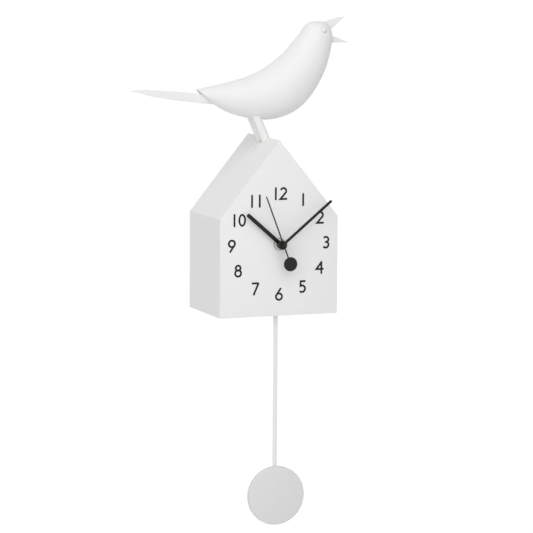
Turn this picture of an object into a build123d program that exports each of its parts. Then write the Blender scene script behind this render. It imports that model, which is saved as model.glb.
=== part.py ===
from build123d import *
import math
import os

# Singing-bird pendulum wall clock, in millimetres.
# X is to the right, Y runs from the dial back to the wall, Z is up.
# While the parts are made, Y = 0 is the wall and heights are measured from the underside of the
# case. Each finished part is then lowered, so that the origin is the centre of the hanging hole.

# ---------------------------------------------------------------- driving dimensions
case_width = 160.0
case_depth = 112.0
eave_height = 125.3
ridge_height = 223.8
wood = 6.0
hook_height = 170.0
axis_height = 91.8
running_gap = 0.05
part_gap = 0.3

back_thickness = 5.0
door_width = 105.4
door_height = 97.0
door_thickness = 2.4
door_lip = 1.2
hook_radius = 4.5
hook_plate_thickness = 1.5
screw_radius = 1.5
screw_head_radius = 3.0
screw_head = 1.8

numeral_circle = 64.3
numeral_height = 16.3
numeral_stroke = 2.45
numeral_film = 0.2

movement_size = 56.0
movement_depth = 16.0
movement_wall = 1.5
bush_radius = 4.0
bush_length = 4.3
washer_radius = 7.9
washer_thickness = 0.8
nut_thickness = 2.4
second_arbor = 0.5
minute_tube = 1.6
hour_tube = 2.5
arbor = 0.6

hour_reach = 61.1
hour_width = 5.1
hour_angle = 311.0
minute_reach = 86.0
minute_width = 3.6
minute_angle = 50.6
second_reach = 67.5
second_width = 1.6
second_angle = 339.0
counterweight_radius = 9.0
counterweight_reach = 25.8
hand_thickness = 0.8

pivot_height = 50.0
rod_width = 5.6
rod_thickness = 1.5
rod_setback = 10.25
bob_radius = 38.0
bob_thickness = 7.0
bob_drop = 233.5
slot_width = 26.0
slot_depth = 7.0
magnet_radius = 5.0
pivot_radius = 1.0

leg_radius = 5.75
leg_gap = 5.9
leg_tilt = 23.8
leg_ridge_x = -2.4
leg_top = 271.0
leg_bottom = 198.0
kerf_width = 3.0
kerf_half_length = 16.1
kerf_floor = 204.0
perch_length = 52.0
perch_floor = 186.0

shell_wall = 2.2
beak_x = 83.2
beak_z = 354.6
beak_disc = 8.6
beak_half = 4.0
beak_arm = 4.0
beak_swing = 26.0
tail_x = -60.0
tail_z = 277.0
tail_arm = 12.5
tail_half = 2.0
drive_pin = 0.8
pin_radius = 1.2
plunger_radius = 2.5
plunger_offset = -9.0
solenoid_size = 17.0
solenoid_length = 26.0
eye_radius = 3.6
eye_rim_gap = 0.35
eye_rim_lift = 0.6

cell_radius = 7.25
cell_length = 50.5
speaker_radius = 25.0

# ---------------------------------------------------------------- derived places
half = case_width / 2
leg_spacing = 2 * leg_radius + leg_gap
front = -case_depth
inner_front = front + wood
mid = front / 2
pitch = (ridge_height - eave_height) / half
roof_drop = wood * math.sqrt(1 + pitch**2)
inner_half = half - wood
inner_ridge = ridge_height - roof_drop
inner_eave = inner_ridge - pitch * inner_half
back_inner = -back_thickness
rod_front = front + rod_setback
rod_back = rod_front + rod_thickness

parts = {}


def keep(name, *solids):
    """Store a node made of one or more separate solids."""
    parts[name] = list(solids)


def block(x0, x1, y0, y1, z0, z1):
    """Box between two corners."""
    return Pos((x0 + x1) / 2, (y0 + y1) / 2, (z0 + z1) / 2) * Box(x1 - x0, y1 - y0, z1 - z0)


def upright(y_back):
    """Drawing plane that faces the viewer in front of the dial, X right and Z up."""
    return Plane(origin=(0, y_back, 0), x_dir=(1, 0, 0), z_dir=(0, -1, 0))


def slab(outline, y0, y1):
    """Flat outline drawn in X and Z, given its thickness from y0 back to y1."""
    return extrude(upright(y1) * outline, amount=y1 - y0)


def poly(*points):
    return make_face(Polyline(*points, close=True))


def disc(x, z, radius):
    return Pos(x, z) * Circle(radius)


def rod_y(x, z, radius, y0, y1):
    """Round bar along Y."""
    return slab(disc(x, z, radius), y0, y1)


def bar(start, end, radius):
    """Round bar between two points."""
    run = Vector(*end) - Vector(*start)
    return extrude(Plane(origin=start, z_dir=run) * Circle(radius), amount=run.length)


# ---------------------------------------------------------------- case
front_outline = poly((-half, 0), (half, 0), (half, eave_height), (0, ridge_height), (-half, eave_height))
front_panel = slab(front_outline, front, inner_front)
bush_hole = bush_radius + part_gap
front_panel -= rod_y(0, axis_height, bush_hole, front, inner_front)
keep("front_panel", front_panel)

wall_outline = poly((inner_half, 0), (half, 0), (half, eave_height), (inner_half, inner_eave))
right_wall = slab(wall_outline, inner_front, 0)
keep("right_wall", right_wall)
keep("left_wall", mirror(right_wall, Plane.YZ))

roof_outline = poly((half, eave_height), (0, ridge_height), (0, inner_ridge), (inner_half, inner_eave))
right_roof = slab(roof_outline, inner_front, 0)
left_roof = mirror(right_roof, Plane.YZ)

tilt = math.radians(leg_tilt)
leg_up = Vector(-math.sin(tilt), 0, math.cos(tilt))
leg_side = Vector(math.cos(tilt), 0, math.sin(tilt))


def leg_point(z, side):
    """Point of a leg's axis at a height; side is -1 for the leg nearer the dial."""
    return (leg_ridge_x + (ridge_height - z) * math.tan(tilt), mid + side * leg_spacing / 2, z)


def leg_bar(radius, bottom, top, side):
    return bar(leg_point(bottom, side), leg_point(top, side), radius)


kerf = block(-kerf_half_length, kerf_half_length, mid - kerf_width / 2, mid + kerf_width / 2,
             kerf_floor, ridge_height)
leg_holes = [leg_bar(leg_radius + part_gap, perch_floor, ridge_height + wood, side) for side in (-1, 1)]
for hole in leg_holes:
    right_roof -= hole
    left_roof -= hole
keep("right_roof_panel", right_roof - kerf)
keep("left_roof_panel", left_roof - kerf)

# ---- floor: pendulum slot behind the front panel, sound holes under the speaker
slot_front = rod_front - (slot_depth - rod_thickness) / 2
speaker_x = -inner_half / 2
speaker_y = (slot_front + slot_depth + back_inner) / 2
floor = block(-inner_half, inner_half, inner_front, back_inner, 0, wood)
floor -= block(-slot_width / 2, slot_width / 2, slot_front, slot_front + slot_depth, 0, wood)
sound_hole_radius = 2.0
sound_ring = 10.0
for turn in range(8):
    angle = math.radians(45 * turn)
    hole_x = speaker_x + sound_ring * math.cos(angle)
    hole_y = speaker_y + sound_ring * math.sin(angle)
    floor -= bar((hole_x, hole_y, 0), (hole_x, hole_y, wood), sound_hole_radius)
floor -= bar((speaker_x, speaker_y, 0), (speaker_x, speaker_y, wood), sound_hole_radius)
keep("floor_panel", floor)

# ---- back panel: moulded, inset between the walls, with a door that slides down out of its groove
door_half = door_width / 2
lip_overlap = 2.5
groove_front = -door_lip - door_thickness - 2 * part_gap
opening_half = door_half - 2 * lip_overlap
opening_bottom = 14.0
opening_top = door_height - 3.0
back_outline = poly((-inner_half, 0), (inner_half, 0), (inner_half, inner_eave), (0, inner_ridge),
                    (-inner_half, inner_eave))
back_panel = slab(back_outline, back_inner, 0)
door_space = door_half + part_gap
back_panel -= block(-door_space, door_space, groove_front, -door_lip + part_gap, 0, door_height + part_gap)
lip_half = door_half - lip_overlap
back_panel -= block(-lip_half, lip_half, groove_front, 0, 0, door_height - lip_overlap)
back_panel -= block(-opening_half, opening_half, back_inner, groove_front, opening_bottom, opening_top)

# ---- keyhole: round entry at the origin, narrow slot above it, clearance behind the plate
plate_half_width = 18.0
plate_below = 10.0
plate_above = 20.0
neck_half = 2.2
neck_rise = 10.0
head_room = 8.0
plate_outline = Pos(0, hook_height + (plate_above - plate_below) / 2) * RectangleRounded(
    2 * plate_half_width, plate_above + plate_below, 4)
keyhole = disc(0, hook_height, hook_radius)
keyhole += disc(0, hook_height + neck_rise, neck_half)
keyhole += Pos(0, hook_height + neck_rise / 2) * Rectangle(2 * neck_half, neck_rise)
clearance = disc(0, hook_height, head_room) + disc(0, hook_height + neck_rise, head_room)
clearance += Pos(0, hook_height + neck_rise / 2) * Rectangle(2 * head_room, neck_rise)
plate_screw_x = 13.0
plate_screws = [(x, hook_height + (plate_above - plate_below) / 2) for x in (-plate_screw_x, plate_screw_x)]
back_panel -= slab(plate_outline, -hook_plate_thickness, 0)
back_panel -= slab(clearance, back_inner, -hook_plate_thickness)
hanger_plate = slab(plate_outline - keyhole, -hook_plate_thickness, 0)

# ---- wood screws: one for every place, all alike
screw_length = 12.0


def screw(x, y, z, way=1):
    """Countersunk wood screw along Y; way 1 has its head towards the wall."""
    head = Plane(origin=(x, y, z), z_dir=(0, -way, 0))
    cone = loft([head * Circle(screw_head_radius), head.offset(screw_head) * Circle(screw_radius)])
    return cone + extrude(head * Circle(screw_radius), amount=screw_length)


block_size = 14.0
block_depth = 22.0
corner_x = inner_half - block_size / 2
corner_places = [(-corner_x, wood + block_size / 2), (corner_x, wood + block_size / 2),
                 (-corner_x, inner_eave - block_size), (corner_x, inner_eave - block_size)]
corner_blocks = []
screws = []
for x, z in corner_places:
    cube = block(x - block_size / 2, x + block_size / 2, back_inner - block_depth, back_inner,
                 z - block_size / 2, z + block_size / 2)
    fastener = screw(x, 0, z)
    corner_blocks.append(cube - fastener)
    back_panel -= fastener
    screws.append(fastener)
hanger_boss_radius = 4.5
hanger_boss_length = 10.0
for x, z in plate_screws:
    back_panel += rod_y(x, z, hanger_boss_radius, back_inner - hanger_boss_length, back_inner)
    fastener = screw(x, 0, z)
    back_panel -= fastener
    hanger_plate -= fastener
    screws.append(fastener)
keep("back_panel", back_panel)
keep("hanger_plate", hanger_plate)
keep("corner_blocks", *corner_blocks)

# ---- service door, with five finger ridges near its top
door_front = -door_lip - door_thickness - part_gap
door = block(-door_half, door_half, door_front, door_front + door_thickness, 0, door_height)
ridge_count = 5
ridge_pitch = 3.0
ridge_half = 12.0
for index in range(ridge_count):
    ridge_z = door_height - 14 - index * ridge_pitch
    door += block(-ridge_half, ridge_half, door_front + door_thickness, door_front + door_thickness + 0.7,
                  ridge_z, ridge_z + 1.2)
keep("service_door", door)

# ---------------------------------------------------------------- printed numerals
stroke_half = numeral_stroke / 2
half_height = numeral_height / 2
top_line = half_height - stroke_half


def strokes(*lines):
    """Strokes of one width, with the corners between straight runs filled."""
    drawn = Sketch() + trace(list(lines), line_width=numeral_stroke)
    return drawn


def dot(x, z):
    return Pos(x, z) * Circle(stroke_half)


def ring(x, z, radius):
    return Pos(x, z) * (Circle(radius + stroke_half) - Circle(radius - stroke_half))


def zero():
    oval = Ellipse(5.1, half_height)
    return oval - Ellipse(5.1 - numeral_stroke, half_height - numeral_stroke)


def one():
    return strokes(Line((0, -half_height), (0, half_height)))


def two():
    radius = 3.7
    turn = math.radians(-40)
    leave = (radius * math.cos(turn), top_line - radius + radius * math.sin(turn))
    foot = (-4.2, -top_line)
    bowl = CenterArc((0, top_line - radius), radius, -40, 200)
    return strokes(bowl, Line(leave, foot), Line(foot, (4.9, -top_line))) + dot(*foot)


def three():
    upper = 3.4
    lower = 3.8
    waist = top_line - 2 * upper
    return strokes(CenterArc((-0.5, top_line - upper), upper, -90, 235),
                   CenterArc((-0.7, -top_line + lower), lower, -145, 235),
                   Line((-1.6, waist), (-0.5, waist)))


def four():
    bar_z = -1.9
    stem = 2.2
    return (strokes(Line((stem, -half_height), (stem, half_height)), Line((-4.6, bar_z), (5.3, bar_z)),
                    Line((stem, top_line), (-4.6, bar_z))) + dot(-4.6, bar_z))


def five():
    radius = 4.2
    centre = (-0.7, -top_line + radius)
    turn = math.radians(118)
    meet = (centre[0] + radius * math.cos(turn), centre[1] + radius * math.sin(turn))
    return strokes(CenterArc(centre, radius, -135, 253), Line(meet, (-2.5, top_line)),
                   Line((-2.5, top_line), (4.0, top_line))) + dot(*meet) + dot(-2.5, top_line)


def six():
    radius = 4.1
    centre = -half_height + radius + stroke_half
    turn = math.radians(145)
    meet = (radius * math.cos(turn), centre + radius * math.sin(turn))
    rise = half_height - meet[1]
    stem = Line(meet, (meet[0] + rise * math.tan(math.radians(35)), half_height))
    return ring(0, centre, radius) + strokes(stem)


def seven():
    return strokes(Line((-4.8, top_line), (4.6, top_line)), Line((4.2, top_line), (-2.4, -half_height)))


def eight():
    upper = 3.2
    lower = 4.0
    return ring(0, top_line - upper, upper) + ring(0, -top_line + lower, lower)


def nine():
    return Rot(0, 0, 180) * six()


digits = {"0": zero, "1": one, "2": two, "3": three, "4": four, "5": five, "6": six, "7": seven,
          "8": eight, "9": nine}
numeral_solids = []
for hour in range(1, 13):
    angle = math.radians(30 * hour)
    centre_x = numeral_circle * math.sin(angle)
    centre_z = axis_height + numeral_circle * math.cos(angle)
    label = str(hour)
    shift = -5.2 * (len(label) - 1)
    for digit in label:
        glyph = Pos(centre_x + shift, centre_z) * digits[digit]()
        solid = slab(glyph, front - numeral_film, front)
        numeral_solids.extend(solid.solids())
        shift += 10.4
keep("numerals", *numeral_solids)

# ---------------------------------------------------------------- movement: case and fixing
case_half = movement_size / 2
case_back = inner_front + movement_depth
cover_front = case_back - movement_wall
case_inner = inner_front + movement_wall
square = Pos(0, axis_height) * RectangleRounded(movement_size, movement_size, 4)
hollow = Pos(0, axis_height) * RectangleRounded(movement_size - 2 * movement_wall,
                                                movement_size - 2 * movement_wall, 3)


def at(x, z):
    """Place given from the clock's main axis."""
    return (x, axis_height + z)


# centre distances and tooth counts of the going train and of the motion work
third_distance = 13.6
second_pinion, third_teeth = 8, 60
third_pinion, centre_teeth = 8, 64
inter_distance = 13.5
inter_pinion, second_teeth = 10, 50
rotor_distance = 9.8
rotor_pinion, inter_teeth = 8, 48
motion_distance = 11.2
cannon_pinion, motion_teeth = 14, 42
motion_pinion, hour_teeth = 12, 48
set_distance = 12.0
set_teeth = 18

third_place = at(-third_distance, 0)
inter_angle = math.radians(40)
inter_place = at(inter_distance * math.cos(inter_angle), inter_distance * math.sin(inter_angle))
rotor_angle = math.radians(120)
rotor_place = (inter_place[0] + rotor_distance * math.cos(rotor_angle),
               inter_place[1] + rotor_distance * math.sin(rotor_angle))
motion_place = at(0, -motion_distance)
set_angle = math.radians(-30)
set_place = (motion_place[0] + set_distance * math.cos(set_angle),
             motion_place[1] + set_distance * math.sin(set_angle))


def toothed(place, teeth, distance, partner, phase=0.0):
    """Gear outline. Its module is twice the centre distance over both tooth counts.
    A tooth points along phase, in degrees from +X towards +Z."""
    module = 2 * distance / (teeth + partner)
    pitch_radius = module * teeth / 2
    root = pitch_radius - 1.15 * module
    tip = pitch_radius + 0.8 * module
    step = 2 * math.pi / teeth
    points = []
    for index in range(teeth):
        centre = math.radians(phase) + index * step
        for radius, share in ((root, -0.29), (tip, -0.1), (tip, 0.1), (root, 0.29)):
            turn = centre + share * step
            points.append((radius * math.cos(turn), radius * math.sin(turn)))
    return Pos(*place) * poly(*points)


def mesh_phase(teeth, towards):
    """Phase that puts the middle of a gap on the line towards the partner, in degrees."""
    return towards + 180 / teeth


level = [case_inner + 0.3 + 1.6 * index for index in range(7)]
wheel_thickness = 1.0


def wheel(outline, index):
    return slab(outline, level[index], level[index] + wheel_thickness)


movement_case = slab(square, inner_front, case_inner) + slab(square - hollow, case_inner, cover_front)
movement_case -= rod_y(0, axis_height, bush_radius, inner_front, case_inner)
post_end = level[1] + wheel_thickness + 0.4
movement_case += rod_y(*motion_place, arbor, case_inner, post_end)
pivot_depth = 1.0
for place in (third_place, inter_place, rotor_place):
    movement_case -= rod_y(*place, arbor + running_gap, case_inner - pivot_depth, case_inner)
keep("movement_case", movement_case)

set_shaft = 1.2
cover = slab(square, cover_front, case_back)
cover -= rod_y(*set_place, set_shaft + running_gap, cover_front, case_back)
for place in (third_place, inter_place, rotor_place):
    cover -= rod_y(*place, arbor + running_gap, cover_front, cover_front + pivot_depth)
cover -= rod_y(0, axis_height, second_arbor + running_gap, cover_front, cover_front + pivot_depth)
keep("movement_cover", cover)

bush_front = front - bush_length
bush = rod_y(0, axis_height, bush_radius, bush_front, case_inner)
bush -= rod_y(0, axis_height, hour_tube + running_gap, bush_front, case_inner)
keep("threaded_bush", bush)
washer_front = front - washer_thickness
washer = slab(disc(0, axis_height, washer_radius) - disc(0, axis_height, bush_radius), washer_front, front)
keep("fixing_washer", washer)
nut_front = washer_front - nut_thickness
nut_outline = Pos(0, axis_height) * (RegularPolygon(6.3, 6) - Circle(bush_radius))
keep("fixing_nut", slab(nut_outline, nut_front, washer_front))

# ---------------------------------------------------------------- movement: wheels
# hour wheel: tube out through the bush
hour_tube_front = front - 7.6
hour_wheel = wheel(toothed((0, axis_height), hour_teeth, motion_distance, motion_pinion,
                           mesh_phase(hour_teeth, -90)), 0)
hour_wheel += rod_y(0, axis_height, hour_tube, hour_tube_front, level[0] + wheel_thickness)
hour_wheel -= rod_y(0, axis_height, minute_tube + running_gap, hour_tube_front, level[0] + wheel_thickness)
keep("hour_wheel", hour_wheel)

# minute wheel of the motion work, on its fixed post
minute_wheel = wheel(toothed(motion_place, motion_teeth, motion_distance, cannon_pinion, 90), 1)
motion_body = slab(toothed(motion_place, motion_pinion, motion_distance, hour_teeth, 90),
                   level[0], level[1])
minute_wheel += motion_body
minute_wheel -= rod_y(*motion_place, arbor + running_gap, level[0], level[1] + wheel_thickness)
keep("minute_wheel", minute_wheel)

# centre wheel: driven by the third wheel's pinion, grips the minute arbor and slips on it for setting
centre_wheel = wheel(toothed((0, axis_height), centre_teeth, third_distance, third_pinion,
                             mesh_phase(centre_teeth, 180)), 2)
centre_wheel -= rod_y(0, axis_height, minute_tube + running_gap, level[2], level[2] + wheel_thickness)
keep("centre_wheel", centre_wheel)

# minute arbor: tube with the cannon pinion, from the centre wheel out to the minute hand
minute_tube_front = front - 12.9
minute_tube_back = level[2] + wheel_thickness + 0.3
minute_arbor = slab(toothed((0, axis_height), cannon_pinion, motion_distance, motion_teeth,
                            mesh_phase(cannon_pinion, -90)), level[1], level[1] + wheel_thickness)
minute_arbor += rod_y(0, axis_height, minute_tube, minute_tube_front, minute_tube_back)
minute_arbor -= rod_y(0, axis_height, second_arbor + running_gap, minute_tube_front, minute_tube_back)
keep("minute_arbor", minute_arbor)


def arbor_bar(place, radius, y0, y1):
    return rod_y(*place, radius, y0, y1)


arbor_front = case_inner - pivot_depth + 0.2
arbor_back = cover_front + pivot_depth - 0.2
third_wheel = wheel(toothed(third_place, third_teeth, third_distance, second_pinion,
                            mesh_phase(third_teeth, 0)), 3)
third_wheel += slab(toothed(third_place, third_pinion, third_distance, centre_teeth, 0),
                    level[2] - 0.2, level[3])
third_wheel += arbor_bar(third_place, arbor, arbor_front, arbor_back)
keep("third_wheel", third_wheel)

# second wheel: its long arbor carries the second hand
second_front = front - 18.0
second_wheel = wheel(toothed((0, axis_height), second_teeth, inter_distance, inter_pinion,
                             mesh_phase(second_teeth, 40)), 4)
second_wheel += slab(toothed((0, axis_height), second_pinion, third_distance, third_teeth, 180),
                     level[3] - 0.2, level[4])
second_wheel += rod_y(0, axis_height, second_arbor, second_front, arbor_back)
keep("second_wheel", second_wheel)

intermediate_wheel = wheel(toothed(inter_place, inter_teeth, rotor_distance, rotor_pinion,
                                   mesh_phase(inter_teeth, 120)), 5)
intermediate_wheel += slab(toothed(inter_place, inter_pinion, inter_distance, second_teeth, 220),
                           level[4] - 0.2, level[5])
intermediate_wheel += arbor_bar(inter_place, arbor, arbor_front, arbor_back)
keep("intermediate_wheel", intermediate_wheel)

rotor_magnet = 3.0
rotor = slab(toothed(rotor_place, rotor_pinion, rotor_distance, inter_teeth, 300),
             level[5] - 0.2, level[6] - 0.2)
rotor += rod_y(*rotor_place, rotor_magnet, level[6] - 0.2, level[6] + 1.6)
rotor += arbor_bar(rotor_place, arbor, arbor_front, arbor_back)
keep("rotor", rotor)

# set knob: its pinion meshes with the minute wheel, its thumb wheel is behind the cover
knob_radius = 7.0
knob_flutes = 18
knob_back = case_back + 5.0
set_knob = wheel(toothed(set_place, set_teeth, set_distance, motion_teeth, mesh_phase(set_teeth, 150)), 1)
set_knob += arbor_bar(set_place, set_shaft, level[1], knob_back)
thumb = disc(*set_place, knob_radius)
for index in range(knob_flutes):
    angle = 2 * math.pi * index / knob_flutes
    thumb -= disc(set_place[0] + knob_radius * math.cos(angle), set_place[1] + knob_radius * math.sin(angle),
                  0.6)
set_knob += slab(thumb, case_back + part_gap, knob_back)
keep("set_knob", set_knob)

# ---------------------------------------------------------------- movement: motor and board
stator_front = level[6]
stator_back = stator_front + 1.2
rotor_x, rotor_z = rotor_place[0], rotor_place[1] - axis_height
stator = Pos(*at(0, 0)) * (Rectangle(50, 50) - Rectangle(43, 43))
stator -= Pos(*at(10, -25)) * Rectangle(14, 10)
stator += Pos(*at(rotor_x, 21.5)) * Rectangle(12, 7)
stator += disc(*rotor_place, rotor_magnet + 2.4)
stator -= disc(*rotor_place, rotor_magnet + 0.5)
keep("motor_stator", slab(stator, stator_front, stator_back))

coil_x0, coil_x1 = -22.0, -4.0
coil_radius = 3.0
coil_y = stator_front - coil_radius - 0.6
coil_z = axis_height - 23.0
coil = bar((coil_x0, coil_y, coil_z), (coil_x1, coil_y, coil_z), coil_radius)
flange = 1.0
for x in (coil_x0, coil_x1 - flange):
    coil += block(x, x + flange, coil_y - coil_radius, stator_front, coil_z - coil_radius, coil_z + coil_radius)
keep("motor_coil", coil)

board_front = cover_front - 1.0
board = slab(Pos(*at(-10, 16.5)) * Rectangle(20, 8), board_front, cover_front)
crystal = slab(Pos(*at(-14, 16.5)) * Rectangle(8, 2.4), board_front - 1.6, board_front)
chip = slab(Pos(*at(-5, 16.5)) * Rectangle(6, 5), board_front - 1.0, board_front)
keep("movement_board", board, crystal, chip)

# ---------------------------------------------------------------- hands


def hand_blade(reach, width, angle, y0, y1, start=0.0):
    """Flat blade with round ends, from the axis out along a clock angle."""
    turn = math.radians(angle)
    away = (math.sin(turn), math.cos(turn))
    length = reach - width / 2 - start
    centre = start + length / 2
    slot = Pos(centre * away[0], axis_height + centre * away[1]) * Rot(0, 0, 90 - angle)
    return slab(slot * SlotCenterToCenter(length, width), y0, y1)


hour_front = front - 7.0
hour_hub = 4.6
hour_hand = hand_blade(hour_reach, hour_width, hour_angle, hour_front, hour_front + hand_thickness)
hour_hand += rod_y(0, axis_height, hour_hub, hour_front, front - bush_length - part_gap)
hour_hand -= rod_y(0, axis_height, hour_tube, hour_front - 1, front)
keep("hour_hand", hour_hand)

minute_front = front - 12.5
minute_hub = 5.8
minute_hand = hand_blade(minute_reach, minute_width, minute_angle, minute_front,
                         minute_front + hand_thickness)
minute_hand += rod_y(0, axis_height, minute_hub, minute_front - 0.2, hour_tube_front - part_gap)
minute_hand -= rod_y(0, axis_height, minute_tube, minute_front - 1, front)
keep("minute_hand", minute_hand)

second_front_face = front - 16.3
second_hub = 2.4
opposite = second_angle - 180
weight_turn = math.radians(opposite)
second_hand = hand_blade(second_reach, second_width, second_angle, second_front_face,
                         second_front_face + hand_thickness)
second_hand += hand_blade(counterweight_reach, second_width, opposite, second_front_face,
                          second_front_face + hand_thickness)
second_hand += rod_y(counterweight_reach * math.sin(weight_turn),
                     axis_height + counterweight_reach * math.cos(weight_turn), counterweight_radius,
                     second_front_face, second_front_face + hand_thickness)
second_hand += rod_y(0, axis_height, second_hub, second_front - 0.6, minute_tube_front - part_gap)
second_hand -= rod_y(0, axis_height, second_arbor, second_front, front)
keep("second_hand", second_hand)

# ---------------------------------------------------------------- pendulum
bracket_half = 16.0
bracket_top = pivot_height + 8.0
bracket_bottom = 22.0
hanger_back = rod_back + 3.0
bracket_back = hanger_back + 2.0
bracket = block(-bracket_half, bracket_half, inner_front, inner_front + 2.0, bracket_bottom, bracket_top)
bracket += block(-bracket_half, bracket_half, bracket_back, bracket_back + 2.0, bracket_bottom, bracket_top)
bracket += block(-bracket_half, bracket_half, inner_front + 2.0, bracket_back, bracket_top - 2.0, bracket_top)
bracket -= rod_y(0, pivot_height, pivot_radius, inner_front, bracket_back + 2.0)
keep("pendulum_bracket", bracket)
keep("pendulum_pivot", rod_y(0, pivot_height, pivot_radius, inner_front, bracket_back + 2.0))

magnet_height = 30.0
hanger_bottom = 15.0
hanger = block(-4.0, 4.0, rod_back, hanger_back, hanger_bottom, pivot_height)
hanger += rod_y(0, pivot_height, 4.0, inner_front + 2.0 + part_gap, bracket_back - part_gap)
hanger += rod_y(0, magnet_height, magnet_radius + 1.5, rod_back, hanger_back)
hanger -= rod_y(0, pivot_height, pivot_radius + running_gap, inner_front, bracket_back)
hanger -= rod_y(0, magnet_height, magnet_radius, rod_back + 0.8, hanger_back)
keep("pendulum_magnet", rod_y(0, magnet_height, magnet_radius, rod_back + 0.8, hanger_back))

rod_top = pivot_height - 5.0
rod_bottom = -bob_drop - 12.0
pendulum_rod = block(-rod_width / 2, rod_width / 2, rod_front, rod_back, rod_bottom, rod_top)
bob_front = rod_front - bob_thickness
bob_round = 1.6
bob = fillet(rod_y(0, -bob_drop, bob_radius, bob_front, rod_front).edges(), bob_round)

rivet_radius = 1.0
rivet_proud = 0.3
rivets = []
for z in (rod_top - 3.0, hanger_bottom + 3.5):
    rivets.append(rod_y(0, z, rivet_radius, rod_front - rivet_proud, hanger_back))
    pendulum_rod -= rod_y(0, z, rivet_radius + running_gap, rod_front, rod_back)
for z in (-bob_drop + 8.0, -bob_drop - 8.0):
    rivets.append(rod_y(0, z, rivet_radius, rod_front - 2.5, rod_back + rivet_proud))
    pendulum_rod -= rod_y(0, z, rivet_radius + running_gap, rod_front, rod_back)
for rivet in rivets:
    hanger -= rivet
    bob -= rivet
keep("pendulum_hanger", hanger)
keep("pendulum_rod", pendulum_rod)
keep("pendulum_bob", bob)
keep("rod_rivets", *rivets)

coil_outer = 9.0
pendulum_coil = rod_y(0, magnet_height, coil_outer, bracket_back + 2.0, bracket_back + 9.0)
keep("pendulum_coil", pendulum_coil)

# ---------------------------------------------------------------- perch in the ridge
perch_half = (inner_ridge - perch_floor) / pitch
perch_low = 8.0
perch = slab(poly((-perch_half, perch_floor), (-perch_half, perch_floor - perch_low),
                  (perch_half, perch_floor - perch_low), (perch_half, perch_floor), (0, inner_ridge)),
             mid - perch_length / 2, mid + perch_length / 2)
fin_drop = 4.0
fin_half = (ridge_height - fin_drop - kerf_floor - part_gap) / pitch
fin = slab(poly((-fin_half, kerf_floor + part_gap), (fin_half, kerf_floor + part_gap),
                (0, ridge_height - fin_drop)), mid - kerf_width / 2 + part_gap, mid + kerf_width / 2 - part_gap)
perch += fin
for side in (-1, 1):
    perch -= leg_bar(leg_radius + running_gap, leg_bottom, ridge_height + wood, side)

# screws from inside, square to each roof slope, through the perch block's ends
slope = math.atan(pitch)
perch_screws = []
for sign in (-1, 1):
    for along in (-perch_length / 2 + 6.0, perch_length / 2 - 6.0):
        inward = Vector(-sign * math.sin(slope), 0, -math.cos(slope))
        seat = Vector(sign * perch_half * 0.62, mid + along, ridge_height - roof_drop - perch_half * 0.62 * pitch)
        head_at = seat + inward * (screw_length - wood + 1.0)
        plane = Plane(origin=head_at, z_dir=-inward)
        shank = extrude(plane * Circle(screw_radius), amount=screw_length)
        cone = loft([plane * Circle(screw_head_radius), plane.offset(screw_head) * Circle(screw_radius)])
        fastener = shank + cone
        recess = extrude(plane * Circle(screw_head_radius + part_gap), amount=-40.0)
        perch = perch - recess - fastener
        perch_screws.append(fastener)
for fastener in perch_screws:
    parts["right_roof_panel"] = [parts["right_roof_panel"][0] - fastener]
    parts["left_roof_panel"] = [parts["left_roof_panel"][0] - fastener]
keep("perch_block", perch)
keep("wood_screws", *screws, *perch_screws)

leg_wall = 1.0
for name, side in (("right_leg", -1), ("left_leg", 1)):
    tube = leg_bar(leg_radius, leg_bottom, leg_top, side) - leg_bar(leg_radius - leg_wall, leg_bottom,
                                                                   leg_top, side)
    keep(name, tube)

# ---------------------------------------------------------------- bird: body shape
# Each section runs from a point on the back to one on the belly, and has a half width.
sections = [
    ((-92.0, 286.0), (-71.5, 267.8), 9.5),
    ((-77.0, 289.0), (-58.0, 260.0), 13.6),
    ((-62.5, 291.7), (-45.5, 254.3), 17.0),
    ((-30.5, 299.0), (-17.0, 247.2), 24.0),
    ((-5.5, 308.3), (12.5, 246.3), 28.5),
    ((11.0, 318.2), (36.5, 253.6), 30.0),
    ((27.3, 331.0), (57.0, 268.5), 29.0),
    ((36.8, 341.0), (73.0, 290.0), 26.5),
    ((43.0, 348.0), (83.5, 311.0), 24.0),
    ((48.0, 353.8), (90.0, 334.0), 21.5),
    ((51.3, 358.5), (92.1, 347.5), 19.8),
    ((57.0, 365.6), (90.8, 358.6), 16.8),
    ((63.5, 369.4), (86.0, 365.3), 11.2),
    ((69.8, 370.9), (78.8, 370.0), 4.8),
]


def oval(top, bottom, half_width, inset):
    """Rounded section across the body, standing on the line from belly to back."""
    high = Vector(top[0], mid, top[1])
    low = Vector(bottom[0], mid, bottom[1])
    along = (high - low).normalized()
    a = (high - low).length / 2 - inset
    b = half_width - inset
    plane = Plane(origin=(high + low) / 2, x_dir=along, z_dir=along.cross(Vector(0, 1, 0)))
    turns = [math.radians(90 + 45 * k) for k in range(8)]
    points = [(a * math.cos(turn), b * math.sin(turn)) for turn in turns]
    return plane * make_face(Spline(*points, periodic=True))


def body_form(inset):
    """Body of the bird, smaller all round and at both its ends by inset."""
    rings = [oval(*section, inset) for section in sections]
    if inset:
        tail_end = rings[0].faces()[0].normal_at()
        crown_end = rings[-1].faces()[0].normal_at()
        rings[0] = Pos(*(tail_end * -inset)) * rings[0]
        rings[-1] = Pos(*(crown_end * inset)) * rings[-1]
    return loft(rings)


body = body_form(0)
cavity = body_form(shell_wall)
clear_space = body_form(shell_wall + part_gap)

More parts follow.
